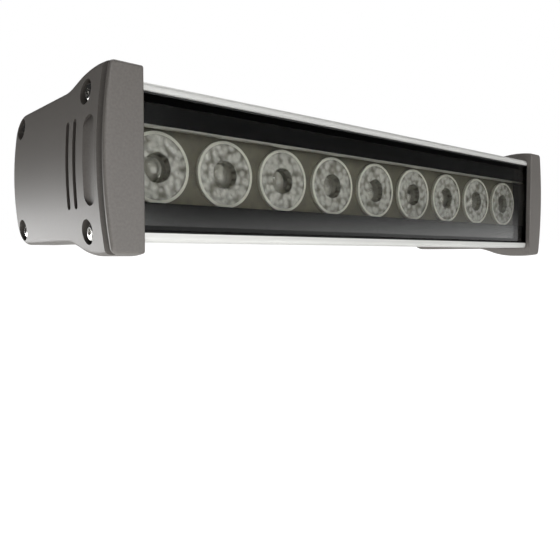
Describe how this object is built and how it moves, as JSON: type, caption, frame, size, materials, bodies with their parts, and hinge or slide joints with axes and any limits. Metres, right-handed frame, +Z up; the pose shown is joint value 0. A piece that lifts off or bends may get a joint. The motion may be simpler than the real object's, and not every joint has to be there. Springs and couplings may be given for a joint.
{
  "type": "linear floodlight",
  "caption": "Linear wall-washer floodlight: glazed aluminium bar with a row of lensed diodes, cast end caps, rear driver chamber and tilting wall brackets.",
  "frame": {"origin": "centre of the wall contact plane, midway between the two bracket feet, where the wall screws pass", "axes": "+X along the bar towards the cable gland, -Y the way the light leaves, +Y into the wall, +Z up"},
  "size_m": [0.3179, 0.134, 0.0656],
  "materials": {
    "anodised_aluminium": "satin natural anodised extrusion",
    "grey_powder_coat": "warm grey powder coat on cast aluminium",
    "grey_bracket_coat": "warm grey powder coat on bent steel",
    "clear_glass": "clear tempered glass",
    "black_rubber": "black silicone rubber",
    "black_enamel": "gloss black enamel",
    "olive_plate": "satin olive-grey paint",
    "nickel_brass": "nickel-plated brass",
    "bright_steel": "polished stainless steel",
    "zinc_steel": "zinc-plated steel",
    "white_board": "white solder resist on a metal-core board",
    "diode_package": "moulded diode package under a silicone dome",
    "clear_acrylic": "clear moulded acrylic",
    "holder_plastic": "pale grey moulded nylon",
    "green_laminate": "green solder resist on glass-fibre laminate",
    "ferrite": "dark ferrite core and taped winding",
    "capacitor_sleeve": "shrunk plastic sleeve",
    "copper_winding": "enamelled copper winding",
    "green_terminal": "green moulded polyamide",
    "red_insulation": "red wire insulation",
    "black_insulation": "black wire insulation",
    "black_nylon": "black moulded nylon",
    "nylon_washer": "natural nylon"
  },
  "bodies": {
    "wall_brackets": {"wall_bracket_right": "grey_bracket_coat", "wall_bracket_left": "grey_bracket_coat", "pivot_bolts": "zinc_steel", "pivot_nuts": "zinc_steel", "pivot_washers": "nylon_washer"},
    "lamp_brackets": {"lamp_bracket_right": "grey_bracket_coat", "lamp_bracket_left": "grey_bracket_coat", "track_bolts": "zinc_steel", "track_nuts": "zinc_steel"},
    "lamp": {"housing_extrusion": "anodised_aluminium", "front_glass": "clear_glass", "glass_gasket_upper": "black_rubber", "glass_gasket_lower": "black_rubber", "upper_bezel": "black_enamel", "lower_bezel": "black_enamel", "lens_plate": "olive_plate", "plate_pillars": "nickel_brass", "plate_screws": "bright_steel", "led_board": "white_board", "board_screws": "bright_steel", "led_emitters": "diode_package", "lens_1": "clear_acrylic", "lens_holder_1": "holder_plastic", "lens_2": "clear_acrylic", "lens_holder_2": "holder_plastic", "lens_3": "clear_acrylic", "lens_holder_3": "holder_plastic", "lens_4": "clear_acrylic", "lens_holder_4": "holder_plastic", "lens_5": "clear_acrylic", "lens_holder_5": "holder_plastic", "lens_6": "clear_acrylic", "lens_holder_6": "holder_plastic", "lens_7": "clear_acrylic", "lens_holder_7": "holder_plastic", "lens_8": "clear_acrylic", "lens_holder_8": "holder_plastic", "lens_9": "clear_acrylic", "lens_holder_9": "holder_plastic", "driver_board": "green_laminate", "driver_transformer": "ferrite", "smoothing_capacitor": "capacitor_sleeve", "filter_choke": "copper_winding", "terminal_block": "green_terminal", "led_lead_positive": "red_insulation", "led_lead_negative": "black_insulation", "wire_grommet": "black_rubber", "end_cap_right": "grey_powder_coat", "end_cap_left": "grey_powder_coat", "end_gasket_right": "black_rubber", "end_gasket_left": "black_rubber", "end_cap_screws_right": "bright_steel", "end_cap_screws_left": "bright_steel", "cable_gland_body": "black_nylon", "gland_washer": "black_rubber", "gland_locknut": "black_nylon", "gland_seal": "black_rubber", "gland_nut": "black_nylon"}
  },
  "joints": [
    {"name": "tilt", "type": "hinge", "parent": "wall_brackets", "child": "lamp_brackets", "pos_m": [0, -0.024, 0], "axis": [1, 0, 0], "range_deg": [-60, 60]},
    {"name": "track_slide", "type": "slide", "parent": "lamp_brackets", "child": "lamp", "axis": [1, 0, 0], "range_m": [-0.045, 0.045]}
  ]
}
